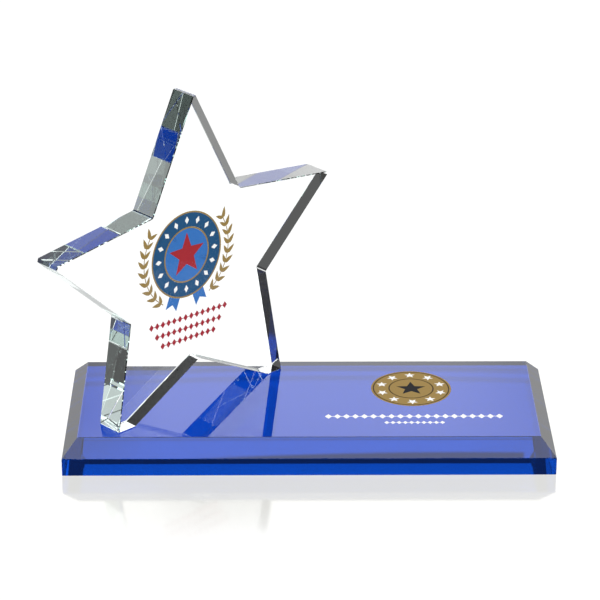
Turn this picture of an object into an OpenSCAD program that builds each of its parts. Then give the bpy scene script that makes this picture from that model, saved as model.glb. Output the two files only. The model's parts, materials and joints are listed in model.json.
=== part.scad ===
// Star trophy: a clear crystal star bonded by two of its points to a blue crystal base.
// Millimetres, Z up. The origin is the centre of the base's underside, +X along its length,
// and -Y is the side that the recipient reads it from.

/* [Base] */
// Length of the blue base, left to right
base_l = 300; // [200:1:400]
// Depth of the blue base, front to back
base_d = 126.5; // [114:0.5:160]
// Thickness of the base at its top face
base_h = 21.5; // [18:0.5:40]
// Height of the upright edge below the bevel
edge_h = 11.2; // [6:0.1:14]
// How far the bevel runs in from the edge
bevel_run = 9.3; // [4:0.1:14]

/* [Star] */
// Centre of the star to one of its points, before the points are blunted
star_r = 116.7; // [90:0.1:125]
// Inner corners' radius as a share of the points' radius
notch_share = 0.495; // [0.42:0.001:0.56]
// Thickness of the star
star_t = 18.6; // [12:0.1:30]
// Turn of the star about the vertical, left point forward
star_turn = 42.7; // [0:0.1:60]
// Tilt of the star in its own plane, top to the left
star_tilt = 0.7; // [-1:0.1:1]
// Place of the star's middle along the base
star_x = -73.3; // [-80:0.1:0]
// Place of the star's middle across the base
star_y = 3.1; // [-2:0.1:8]
// Length cut off each of the two lower points so that they stand flat
foot_cut = 7.4; // [4:0.1:14]
// Width of the small flat that blunts each of the other points
tip_flat = 2.4; // [1.8:0.1:6]
// Radius of the polished inner corners
notch_fillet = 2; // [0.5:0.1:4]

/* [Finish] */
// Width of the polished arris round the star's two faces
arris = 0.45; // [0.2:0.05:1.3]
// Width of the polished arris on the base's edges
base_arris = 0.25; // [0.1:0.05:1]
// Thickness of the clear adhesive under each foot
bond_t = 0.15; // [0.05:0.05:0.4]
// Thickness of the printed ink
ink_t = 0.1; // [0.05:0.05:0.3]

/* [Print on the star] */
// Outer radius of the round seal
seal_r = 27; // [22:0.5:28]
// Width of the seal's navy ring
seal_ring_w = 9; // [6:0.5:11]
// White marks round the ring
seal_marks_n = 16; // [10:1:20]
// Turn of the whole print on the star's face
print_turn = -1.9; // [-5:0.1:5]

/* [Print on the base] */
// Radius of the gold medallion
medal_r = 25.2; // [15:0.1:26]
// Place of the print along the base
medal_x = 64.9; // [60:0.1:75]
// Length of the long white line
title_l = 111; // [60:1:114]

/* [Hidden] */
$fn = 64;

star_points = 5;
step = 360 / star_points;
notch_r = star_r * notch_share;
// Degrees that each inner corner sits off its place in a regular star
notch_turn = [1.7, -0.7, -1.2, 1.9, -1.2];
centre_z = star_r * cos(step / 2) - foot_cut; // star's centre above the soles of its feet
sole_z = base_h + bond_t;
bond_inset = 1; // the adhesive stops this far inside each foot

// Centre of the star's print, measured from the star's own centre
print_x = -1.5;
print_z = 5.1;
seal_z = 4; // the seal's centre above the print's
seal_in = seal_r - seal_ring_w;
seal_rule_w = 1; // width of the gold rule inside and outside the ring
seal_star_share = 0.86; // the red star's radius, as a share of the room inside the inner rule
tail_lean = 20; // each ribbon tail's angle from straight down
tail_w = 9;
tail_l = 9;
tail_fork = 3.5;
laurel_gap = 7; // from the ring to the middle of a laurel branch
caption_x = 2;
caption_pitch = 4.6;
caption_rows = [[14, -37.5], [12, -44.8], [10, -51.8]]; // marks, height
caption_mark_h = 4.6;

title_y = -26.2;
title_h = 6;
title_n = 20;
subtitle_y = -34.8;
subtitle_l = 38;
subtitle_h = 4;
subtitle_n = 10;
medal_y = 13.4;
medal_stars_n = 10;
medal_rule_h = 0.8;

// ---- Points and outlines ----

function unit(v) = v / norm(v);
function at_angle(r, a) = r * [cos(a), sin(a)];
function neighbour(pts, i, by) = pts[(i + by + len(pts)) % len(pts)];

// Points of the star and the inner corners between them, anticlockwise from the top point
function star_tip(k) = [0, centre_z] + at_angle(star_r, 90 + star_tilt + step * k);
function star_notch(k) = let (i = (k + star_points) % star_points)
    [0, centre_z] + at_angle(notch_r, 90 + star_tilt + step * (i + 0.5) + notch_turn[i]);

// A point cut square across, as two corners
function blunted(tip, from, to) =
    let (a = unit(from - tip), b = unit(to - tip), half = acos(a * b) / 2)
    [for (d = [a, b]) tip + d * tip_flat / 2 / sin(half)];

// A point cut level with the soles, as two corners
function footed(tip, from, to) = [for (n = [from, to]) tip + (n - tip) * (0 - tip.y) / (n.y - tip.y)];

// An inner corner rounded to notch_fillet
function filleted(corner, from, to, steps = 5) =
    let (a = unit(from - corner), b = unit(to - corner), half = acos(a * b) / 2,
         centre = corner + unit(a + b) * notch_fillet / sin(half),
         start = corner + a * notch_fillet / tan(half) - centre,
         sweep = 180 - 2 * half)
    [for (i = [0 : steps]) let (t = -sweep * i / steps)
        centre + [start.x * cos(t) - start.y * sin(t), start.x * sin(t) + start.y * cos(t)]];

function is_foot(k) = k == 2 || k == 3;
function star_outline() = [for (k = [0 : star_points - 1])
    let (before = star_notch(k - 1), after = star_notch(k), next = star_tip(k + 1))
    each concat(is_foot(k) ? footed(star_tip(k), before, after) : blunted(star_tip(k), before, after),
                filleted(after, star_tip(k), next))];

// The same outline moved inwards by d, each corner along its mitre
function inset(pts, d) = [for (i = [0 : len(pts) - 1])
    let (u = unit(pts[i] - neighbour(pts, i, -1)), v = unit(neighbour(pts, i, 1) - pts[i]),
         nu = [-u.y, u.x], nv = [-v.y, v.x])
    pts[i] + d * (nu + nv) / (1 + nu * nv)];

// An outline with every corner cut back by d along both of its edges
function arrised(pts, d) = [for (i = [0 : len(pts) - 1])
    for (by = [-1, 1]) pts[i] + d * unit(neighbour(pts, i, by) - pts[i])];

// Part of a ring between two radii and two angles
function ring_sector(r_in, r_out, a_from, a_to, steps = 12) = concat(
    [for (i = [0 : steps]) at_angle(r_out, a_from + (a_to - a_from) * i / steps)],
    [for (i = [steps : -1 : 0]) at_angle(r_in, a_from + (a_to - a_from) * i / steps)]);

function star_points_2d(r, share = 0.42) = [for (i = [0 : 2 * star_points - 1])
    at_angle(i % 2 == 0 ? r : r * share, 90 + step / 2 * i)];

// ---- Shapes used again and again ----

module lozenge(w, h) polygon([[-w / 2, 0], [0, -h / 2], [w / 2, 0], [0, h / 2]]);

// An even row of lozenges with a dot between each two
module lozenge_row(count, length, h) {
    pitch = length / count;
    for (i = [0 : count - 1]) translate([(i + 0.5) * pitch - length / 2, 0]) {
        lozenge(pitch * 0.8, h);
        if (i < count - 1) translate([pitch / 2, 0]) circle(d = min(h, pitch) * 0.16);
    }
}

// A thin ring whose middle line has radius r
module ring_2d(r, width) difference() {
    circle(r + width / 2, $fn = 96);
    circle(r - width / 2, $fn = 96);
}

// A leaf from the origin along +X, widest a little before its middle
module leaf(length, width, steps = 6) polygon(concat(
    [for (i = [0 : steps]) let (t = i / steps) [length * t, -width * sqrt(t) * (1 - t) * 1.3]],
    [for (i = [steps - 1 : -1 : 1]) let (t = i / steps) [length * t, width * sqrt(t) * (1 - t) * 1.3]]
));

// ---- Places ----

// The star's own frame: x across its face, y into its thickness, z up from its soles
module in_star() translate([star_x, star_y, sole_z]) rotate(star_turn)
    translate([0, -star_t / 2, 0]) children();

// Ink on the back of the star, drawn as it is read through the crystal from the front
module star_ink() in_star() translate([0, star_t + ink_t, centre_z]) rotate([90, 0, 0])
    linear_extrude(ink_t) translate([print_x, print_z]) rotate(print_turn) children();

// Ink on the top face of the base
module base_ink(y) translate([medal_x, y, base_h]) linear_extrude(ink_t) children();

// ---- Crystal ----

module base_profile(length) polygon(arrised([
    [-length / 2, 0], [length / 2, 0], [length / 2, edge_h],
    [length / 2 - bevel_run, base_h], [-length / 2 + bevel_run, base_h], [-length / 2, edge_h]
], base_arris));

module base_block() color([0.10, 0.22, 0.78]) intersection() {
    rotate([90, 0, 0]) linear_extrude(base_d + 2, center = true) base_profile(base_l);
    rotate([90, 0, 90]) linear_extrude(base_l + 2, center = true) base_profile(base_d);
    translate([0, 0, -1]) linear_extrude(base_h + 2) polygon(arrised([
        [-base_l / 2, -base_d / 2], [base_l / 2, -base_d / 2],
        [base_l / 2, base_d / 2], [-base_l / 2, base_d / 2]
    ], base_arris));
}

module star_block() color([0.86, 0.90, 0.92]) in_star() {
    outline = star_outline();
    n = len(outline);
    layers = [[0, inset(outline, arris)], [arris, outline],
              [star_t - arris, outline], [star_t, inset(outline, arris)]];
    last = len(layers) - 1;
    corners = [for (layer = layers) for (p = layer[1]) [p.x, layer[0], p.y]];
    middles = [for (y = [0, star_t]) [0, y, centre_z]];
    sides = [for (layer = [0 : last - 1]) for (i = [0 : n - 1])
        [layer * n + i, layer * n + (i + 1) % n, (layer + 1) * n + (i + 1) % n, (layer + 1) * n + i]];
    front = [for (i = [0 : n - 1]) [(last + 1) * n, (i + 1) % n, i]];
    back = [for (i = [0 : n - 1]) [(last + 1) * n + 1, last * n + i, last * n + (i + 1) % n]];
    polyhedron(concat(corners, middles), concat(front, sides, back));
}

// ---- Adhesive ----

// A clear film under foot k, from the inner to the outer end of its sole
module foot_bond(k) in_star() {
    ends = footed(star_tip(k), star_notch(k - 1), star_notch(k));
    left = min(ends[0].x, ends[1].x) + bond_inset;
    right = max(ends[0].x, ends[1].x) - bond_inset;
    translate([left, bond_inset, -bond_t]) cube([right - left, star_t - 2 * bond_inset, bond_t]);
}
module left_foot_bond() color([0.80, 0.88, 0.95]) foot_bond(2);
module right_foot_bond() color([0.80, 0.88, 0.95]) foot_bond(3);

// ---- Print on the star ----

module seal_ink() star_ink() translate([0, seal_z]) children();

module both_sides() {
    children();
    mirror([1, 0]) children();
}

module seal_marks_2d() for (i = [0 : seal_marks_n - 1])
    rotate(i * 360 / seal_marks_n) translate([0, (seal_in + seal_r) / 2]) lozenge(3.2, seal_ring_w * 0.55);

module seal_ring_navy() color([0.12, 0.31, 0.49]) seal_ink() difference() {
    ring_2d((seal_in + seal_r) / 2, seal_ring_w);
    seal_marks_2d();
}
module seal_marks() color([0.96, 0.96, 0.95]) seal_ink() seal_marks_2d();

module seal_rules_gold() color([0.69, 0.55, 0.24]) seal_ink() {
    ring_2d(seal_r + seal_rule_w / 2, seal_rule_w);
    ring_2d(seal_in - seal_rule_w / 2, seal_rule_w);
}

module seal_star_2d() polygon(star_points_2d((seal_in - seal_rule_w) * seal_star_share));
module seal_star_red() color([0.69, 0.13, 0.17]) seal_ink() seal_star_2d();
module seal_field_blue() color([0.25, 0.45, 0.78]) seal_ink() difference() {
    circle(seal_in - seal_rule_w, $fn = 96);
    seal_star_2d();
}

// A forked ribbon end that comes out from under the seal
module tail_2d() difference() {
    rotate(tail_lean) translate([0, -seal_r]) polygon([
        [-tail_w / 2, tail_w / 2], [-tail_w / 2, -tail_l], [0, tail_fork - tail_l],
        [tail_w / 2, -tail_l], [tail_w / 2, tail_w / 2]]);
    circle(seal_r + seal_rule_w, $fn = 96);
}
module ribbon_tails_blue() color([0.25, 0.45, 0.78]) seal_ink() both_sides() tail_2d();

// One branch of the laurel: leaves in pairs along an arc that rises beside the seal
module laurel_branch() {
    branch_r = seal_r + laurel_gap;
    for (i = [0 : 8]) rotate(-54 + i * 10.5) translate([branch_r, 0]) {
        rotate(90 - 38) leaf(7.5, 2.7);
        rotate(90 + 38) leaf(6.5, 2.4);
    }
    polygon(ring_sector(branch_r - 0.3, branch_r + 0.3, -57, 34, 16));
}
module laurels_gold() color([0.69, 0.55, 0.24]) seal_ink() difference() {
    both_sides() laurel_branch();
    both_sides() tail_2d();
}

module caption_red() color([0.69, 0.13, 0.17]) star_ink() for (row = caption_rows)
    translate([caption_x, row[1]]) lozenge_row(row[0], row[0] * caption_pitch, caption_mark_h);

// ---- Print on the base ----

module medal_rules_2d() for (share = [0.55, 0.94]) ring_2d(share * medal_r, medal_rule_h);
module medal_stars_2d() for (i = [0 : medal_stars_n - 1]) rotate(i * 360 / medal_stars_n)
    translate([0, 0.76 * medal_r]) polygon(star_points_2d(0.14 * medal_r));
module medal_centre_2d() polygon(star_points_2d(0.38 * medal_r));

module medallion_disc() color([0.69, 0.55, 0.24]) base_ink(medal_y) difference() {
    circle(medal_r, $fn = 96);
    medal_rules_2d();
    medal_stars_2d();
    medal_centre_2d();
}
module medallion_rules() color([0.23, 0.17, 0.08]) base_ink(medal_y) medal_rules_2d();
module medallion_stars() color([0.96, 0.96, 0.95]) base_ink(medal_y) medal_stars_2d();
module medallion_centre_star() color([0.05, 0.05, 0.06]) base_ink(medal_y) medal_centre_2d();

module base_title_marks() color([0.96, 0.96, 0.95]) base_ink(title_y)
    lozenge_row(title_n, title_l, title_h);
module base_subtitle_marks() color([0.96, 0.96, 0.95]) base_ink(subtitle_y)
    lozenge_row(subtitle_n, subtitle_l, subtitle_h);

star_block();
base_block();
left_foot_bond();
right_foot_bond();
seal_ring_navy();
seal_marks();
seal_rules_gold();
seal_field_blue();
seal_star_red();
ribbon_tails_blue();
laurels_gold();
caption_red();
medallion_disc();
medallion_rules();
medallion_stars();
medallion_centre_star();
base_title_marks();
base_subtitle_marks();
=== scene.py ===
import json
import math

import bpy
from mathutils import Matrix, Vector


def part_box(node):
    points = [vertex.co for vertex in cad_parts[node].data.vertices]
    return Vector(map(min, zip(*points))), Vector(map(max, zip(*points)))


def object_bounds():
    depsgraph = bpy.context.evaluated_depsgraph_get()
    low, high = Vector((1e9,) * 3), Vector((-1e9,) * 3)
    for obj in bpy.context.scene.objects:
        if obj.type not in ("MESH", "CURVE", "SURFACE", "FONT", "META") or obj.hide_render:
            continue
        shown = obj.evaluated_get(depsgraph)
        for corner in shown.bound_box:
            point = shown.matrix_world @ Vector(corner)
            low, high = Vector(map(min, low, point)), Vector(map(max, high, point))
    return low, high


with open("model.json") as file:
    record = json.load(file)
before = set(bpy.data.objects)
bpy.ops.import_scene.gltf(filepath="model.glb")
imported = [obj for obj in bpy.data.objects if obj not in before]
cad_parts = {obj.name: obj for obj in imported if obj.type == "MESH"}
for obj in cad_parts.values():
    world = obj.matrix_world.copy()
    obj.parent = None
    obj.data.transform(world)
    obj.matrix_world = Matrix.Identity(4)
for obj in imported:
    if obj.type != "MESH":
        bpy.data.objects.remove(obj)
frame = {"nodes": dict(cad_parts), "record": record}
cad_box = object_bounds()

MM = 0.001
base_lo, base_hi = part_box("base_block")
base_length = base_hi.x - base_lo.x
total_height = cad_box[1].z


# ---- Node helpers ----

class Nodes:
    """Short calls that add shader nodes to one tree and join them up."""

    def __init__(self, tree):
        self.tree = tree
        tree.nodes.clear()

    def add(self, kind, **settings):
        node = self.tree.nodes.new(kind)
        for name, value in settings.items():
            setattr(node, name, value)
        return node

    def join(self, socket, value):
        """value is another node's output, or a plain number, colour or vector."""
        if isinstance(value, bpy.types.NodeSocket):
            self.tree.links.new(value, socket)
        else:
            socket.default_value = value

    def math(self, operation, *values):
        node = self.add("ShaderNodeMath", operation=operation)
        for socket, value in zip(node.inputs, values):
            self.join(socket, value)
        return node.outputs[0]

    def dot(self, vector, other):
        node = self.add("ShaderNodeVectorMath", operation="DOT_PRODUCT")
        self.join(node.inputs[0], vector)
        self.join(node.inputs[1], other)
        return node.outputs["Value"]

    def fade(self, value, start, end, low=0.0, high=1.0):
        """low where value is at start, high where it is at end, and a smooth step between."""
        node = self.add("ShaderNodeMapRange", interpolation_type="SMOOTHSTEP")
        for name, given in (("Value", value), ("From Min", start), ("From Max", end),
                            ("To Min", low), ("To Max", high)):
            self.join(node.inputs[name], given)
        return node.outputs[0]

    def noise(self, vector, scale, detail=2.0, roughness=0.5):
        node = self.add("ShaderNodeTexNoise")
        self.join(node.inputs["Vector"], vector)
        node.inputs["Scale"].default_value = scale
        node.inputs["Detail"].default_value = detail
        node.inputs["Roughness"].default_value = roughness
        return node.outputs[0]

    def ramp(self, value, *stops):
        """stops are (position, colour)."""
        node = self.add("ShaderNodeValToRGB")
        elements = node.color_ramp.elements
        while len(elements) < len(stops):
            elements.new(0.5)
        for element, (position, colour) in zip(elements, stops):
            element.position = position
            element.color = (*colour, 1.0)
        self.join(node.inputs[0], value)
        return node.outputs[0]


def new_material(name):
    material = bpy.data.materials.new(name)
    material.use_nodes = True
    return material, Nodes(material.node_tree)


# ---- Camera ----

LENS_MM = 162.37
AIM_X = -0.01758        # of the base's length, from the middle
AIM_Z = 0.3967          # of the total height
DISTANCE = 5.548        # in base lengths
YAW, PITCH, ROLL = (math.radians(a) for a in (0.59, -23.78, 0.13))


def make_camera():
    data = bpy.data.cameras.new("camera")
    data.lens = LENS_MM
    data.clip_start = 0.05
    data.clip_end = 50
    camera = bpy.data.objects.new("camera", data)
    bpy.context.scene.collection.objects.link(camera)
    turn = (Matrix.Rotation(-YAW, 4, "Z") @ Matrix.Rotation(math.radians(90) + PITCH, 4, "X")
            @ Matrix.Rotation(ROLL, 4, "Z"))
    aim = Vector((AIM_X * base_length, 0, AIM_Z * total_height))
    camera.matrix_world = Matrix.Translation(aim) @ turn @ Matrix.Translation((0, 0, DISTANCE * base_length))
    bpy.context.scene.camera = camera


# ---- Studio ----

# The light round the object. Azimuth 0 is behind it and 90 is to its right, in degrees.
# Brightness at each elevation
SKY = [
    (-90, 0.25), (-58, 0.3), (-45, 0.7), (-36, 1.0), (-31, 1.15), (-29.6, 1.9), (-27.6, 1.9),
    (-27.1, 1.15), (0, 1.2), (10, 1.5), (20, 2.0), (26.5, 2.0), (28.5, 1.6), (60, 1.6), (90, 1.8),
]
SKY_TOP = 3.0      # what the sky's ramp is scaled by
EVEN_LIGHT = 1.15  # falls on the inks and the floor
BACKDROP = 1.0     # what the camera sees behind everything
# Cards that only polished crystal can see, chosen for the facets that they put in it. From steep
# or untried directions a dark card can show straight through the star and turn it grey. Each is:
# azimuth, elevation, half width, half height, soft edge, brightness, and how far it leans
CARDS = [
    (180, -26, 32, 18, 8, 0.08),    # unlit floor in front
    (-90, -36, 24, 16, 3, 0.40),    # dim floor on the left
    (-74, -39, 7, 7, 3, 0.04),      # its darkest part
    (97, -38, 12, 9, 3, 0.60),      # dim floor on the right
    (93, -22, 13, 8, 3, 0.08),      # its darkest part
    (-50, -46, 12, 6, 3, 0.27),     # edge of the lit floor behind
    (-12, -34, 7, 4, 1.5, 0.85),    # dimmer patches of it
    (-29, -46, 6, 6, 2, 0.03),
    (-122, -21.5, 8, 3, 0.2, 0.15),
    (-55, -13, 9, 4, 2, 0.15),      # dark edge behind, to the left
    (180, 22, 62, 24, 5, 0.06),     # unlit room in front
    (-78, 26, 40, 25, 3, 0.02),     # black card on the left
    (-73, 41, 10, 6, 4, 0.11),      # its lighter top
    (88, 34.5, 48, 10.5, 2, 0.06),  # black card on the right
    (113, 41, 6, 5, 2, 0.75),       # a gap in it
    (57, 21, 6, 5, 2, 0.10),        # its foot
    (30, -1, 4, 3, 1, 2.2),         # small lamp behind, to the right
    (4, 44, 34, 8, 3, 0.60),        # grey card behind
    (56, 48, 8, 5, 2, 0.50),
    (-14, 33, 6, 3, 2, 0.95),       # its lighter foot
    (66, -11, 14, 19, 3, 0.36),     # grey cards on the right
    (93, -5, 13, 9, 3, 0.32),
    (93, 1, 10, 3, 2, 0.20),
    (58, -5, 6, 6, 2, 0.05),        # black card on the right, behind
    (1, -10, 7, 4, 1, 0.42),        # grey cards behind, low down
    (17, 6, 5, 3.5, 1.5, 0.60),
    (-27, -7.5, 4, 3, 1, 0.85),     # dimmer sides of the backdrop
    (27, -9.5, 3.5, 3, 1, 0.85),
    (-12, 22.5, 8.5, 4.5, 1, 1.2),  # dimmer ends of the softbox behind
    (14, 22.5, 8.5, 4.5, 2, 1.35),
    (1.6, 27.6, 4.3, 0.58, 0.04, 0.45, -0.03),  # its upper edge
    (1, -25.24, 8, 0.05, 0.03, 0.80, 0.01),     # faint lines at the foot of the backdrop
    (1, -25.43, 8, 0.05, 0.03, 0.83, 0.01),
    (180, 68, 70, 17, 6, 2.5),      # softbox over the front
]


def make_studio():
    world = bpy.data.worlds.new("studio")
    bpy.context.scene.world = world
    world.use_nodes = True
    n = Nodes(world.node_tree)
    direction = n.add("ShaderNodeTexCoord").outputs["Generated"]
    up = n.dot(direction, (0, 0, 1))
    elevation = n.math("DEGREES", n.math("ARCSINE", up))
    ramp = n.ramp(n.math("MULTIPLY_ADD", elevation, 1 / 180, 0.5),
                  *[((e + 90) / 180, (b / SKY_TOP,) * 3) for e, b in SKY])
    sky = light = n.math("MULTIPLY", ramp, SKY_TOP)
    for azimuth, middle, half_w, half_h, soft, brightness, *lean in CARDS:
        a = math.radians(azimuth)
        across = n.dot(direction, (math.cos(a), -math.sin(a), 0))
        along = n.dot(direction, (math.sin(a), math.cos(a), 0))
        turn = n.math("DEGREES", n.math("ARCTAN2", across, along))
        off_x = n.math("ABSOLUTE", turn)
        if lean:
            middle = n.math("MULTIPLY_ADD", turn, lean[0], middle)
        off_z = n.math("ABSOLUTE", n.math("SUBTRACT", elevation, middle))
        mask = n.math("MULTIPLY", n.fade(off_x, half_w + soft, half_w - soft),
                      n.fade(off_z, half_h + soft, half_h - soft))
        light = n.math("ADD", light, n.math("MULTIPLY", mask, n.math("SUBTRACT", brightness, light)))
    # Only polished crystal shows the cards. Inks and floor get an even light, and the backdrop is white
    ray = n.add("ShaderNodeLightPath")
    light = n.math("ADD", sky, n.math("MULTIPLY", ray.outputs["Is Singular Ray"],
                                      n.math("SUBTRACT", light, sky)))
    even = n.math("GREATER_THAN", ray.outputs["Diffuse Depth"], 0.5)
    light = n.math("ADD", light, n.math("MULTIPLY", even, n.math("SUBTRACT", EVEN_LIGHT, light)))
    seen = ray.outputs["Is Camera Ray"]
    light = n.math("ADD", light, n.math("MULTIPLY", seen, n.math("SUBTRACT", BACKDROP, light)))
    background = n.add("ShaderNodeBackground")
    background.inputs["Color"].default_value = (1, 1, 1, 1)
    n.join(background.inputs["Strength"], light)
    n.join(n.add("ShaderNodeOutputWorld").inputs["Surface"], background.outputs[0])
    world.cycles.sampling_method = "NONE"


FLOOR_GAP = 0.4 * MM
FLOOR_REACH = 60                # half width, in base lengths
GLOSS_AND_SHADE_FADE = (30 * MM, 100 * MM)  # how far from the base the gloss and the painted shade start to go, and are gone
# Painted shade: the floor colour near the base is darker and greyer than further out
FLOOR_NEAR_PAINTED_SHADE = (0.79, 0.79, 0.76)
FLOOR_FAR = (0.92, 0.92, 0.92)
FLOOR_ROUGHNESS = 0.09
FLOOR_IOR = 2.2


def make_floor():
    size = FLOOR_REACH * base_length
    mesh = bpy.data.meshes.new("floor")
    corners = [(x * size, y * size, -FLOOR_GAP) for x, y in ((-1, -1), (1, -1), (1, 1), (-1, 1))]
    mesh.from_pydata(corners, [], [(0, 1, 2, 3)])
    floor = bpy.data.objects.new("floor", mesh)
    bpy.context.scene.collection.objects.link(floor)
    floor.visible_transmission = False
    floor.visible_glossy = False
    floor.visible_diffuse = False
    material, n = new_material("floor_white")
    # Glossy round the base, with painted shade that darkens the floor colour there; matt and lighter further
    # out
    place = n.add("ShaderNodeTexCoord").outputs["Object"]
    away = n.math("MAXIMUM", *(n.math("SUBTRACT", n.math("ABSOLUTE", n.dot(place, axis)), reach)
                               for axis, reach in (((1, 0, 0), base_hi.x), ((0, 1, 0), base_hi.y))))
    far = n.fade(away, *GLOSS_AND_SHADE_FADE)
    shader = n.add("ShaderNodeBsdfPrincipled")
    n.join(shader.inputs["Base Color"], n.ramp(far, (0, FLOOR_NEAR_PAINTED_SHADE), (1, FLOOR_FAR)))
    n.join(shader.inputs["Specular IOR Level"], n.math("MULTIPLY_ADD", far, -0.5, 0.5))
    shader.inputs["Roughness"].default_value = FLOOR_ROUGHNESS
    shader.inputs["IOR"].default_value = FLOOR_IOR
    n.join(n.add("ShaderNodeOutputMaterial").inputs["Surface"], shader.outputs[0])
    mesh.materials.append(material)


# ---- Materials ----

CRYSTAL_IOR = 1.52
HAZE = 0.0035           # roughness of the least polished spots
INK_ROUGHNESS = 0.38
INK_SPREAD = 0.08       # how far the grain takes the roughness either way
INK_SHINE = 0.02
GRAIN_SCALE = 1800


def crystal(name, tint, absorbs, density, polish_scale):
    material, n = new_material(name)
    place = n.add("ShaderNodeTexCoord").outputs["Object"]
    haze = n.noise(place, polish_scale, 3)
    shader = n.add("ShaderNodeBsdfPrincipled")
    shader.inputs["Base Color"].default_value = (*tint, 1)
    shader.inputs["IOR"].default_value = CRYSTAL_IOR
    shader.inputs["Transmission Weight"].default_value = 1.0
    n.join(shader.inputs["Roughness"], n.fade(haze, 0.55, 0.8, 0.0, HAZE))
    volume = n.add("ShaderNodeVolumeAbsorption")
    volume.inputs["Color"].default_value = (*absorbs, 1)
    volume.inputs["Density"].default_value = density
    output = n.add("ShaderNodeOutputMaterial")
    n.join(output.inputs["Surface"], shader.outputs[0])
    n.join(output.inputs["Volume"], volume.outputs[0])
    return material


def ink(name, colour, mottle=0.12):
    material, n = new_material(name)
    place = n.add("ShaderNodeTexCoord").outputs["Object"]
    grain = n.noise(place, GRAIN_SCALE, 3, 0.6)
    dark = tuple(c * (1 - mottle) for c in colour)
    light = tuple(min(1.0, c * (1 + mottle)) for c in colour)
    shader = n.add("ShaderNodeBsdfPrincipled")
    n.join(shader.inputs["Base Color"], n.ramp(grain, (0.3, dark), (0.7, light)))
    n.join(shader.inputs["Roughness"],
           n.fade(grain, 0.3, 0.7, INK_ROUGHNESS - INK_SPREAD, INK_ROUGHNESS + INK_SPREAD))
    shader.inputs["Specular IOR Level"].default_value = INK_SHINE
    n.join(n.add("ShaderNodeOutputMaterial").inputs["Surface"], shader.outputs[0])
    return material


MATERIALS = {
    "clear_crystal": crystal("clear_crystal", (1, 1, 1), (0.78, 1.0, 0.94), 3.0, 40),
    "blue_crystal": crystal("blue_crystal", (0.001, 0.05, 0.48), (0.2, 0.7, 0.4), 5.0, 40),
    "clear_adhesive": crystal("clear_adhesive", (0.95, 0.98, 1), (0.8, 0.9, 1.0), 1.0, 900),
    "red_ink": ink("red_ink", (0.36, 0.020, 0.030)),
    "navy_ink": ink("navy_ink", (0.012, 0.077, 0.19)),
    "blue_ink": ink("blue_ink", (0.035, 0.16, 0.48)),
    "white_ink": ink("white_ink", (0.9, 0.9, 0.89), 0.04),
    "gold_ink": ink("gold_ink", (0.30, 0.20, 0.062), 0.1),
    "brown_ink": ink("brown_ink", (0.05, 0.03, 0.01)),
    "black_ink": ink("black_ink", (0.01, 0.01, 0.012)),
}


def dress():
    for part in frame["record"]["subparts"]:
        mesh = frame["nodes"][part["node"]].data
        mesh.materials.clear()
        mesh.materials.append(MATERIALS[part["material_slot"]])


HAIR = 0.02 * MM
WELD_WITHIN = 0.001 * MM


def draw_in(thing):
    """Draws a solid's surface in by a hair, so that no two faces lie in one plane."""
    weld = thing.modifiers.new("weld", "WELD")
    weld.merge_threshold = WELD_WITHIN
    shift = thing.modifiers.new("shift", "DISPLACE")
    shift.direction = "NORMAL"
    shift.mid_level = 0
    shift.strength = -HAIR


# Crystal casts no diffuse shadow, and inks stay out of its reflections
for name, thing in frame["nodes"].items():
    if name.endswith("_block"):
        thing.visible_diffuse = False
    else:
        draw_in(thing)
    if not name.endswith(("_block", "_bond")):
        thing.visible_glossy = False
        thing.visible_transmission = not name.startswith(("medallion", "base"))

BOUNCES = 32  # light crosses many crystal faces

make_camera()
make_studio()
make_floor()
dress()
scene = bpy.context.scene
scene.view_settings.view_transform = "Standard"
for bounces in ("max_bounces", "transmission_bounces", "glossy_bounces"):
    setattr(scene.cycles, bounces, BOUNCES)
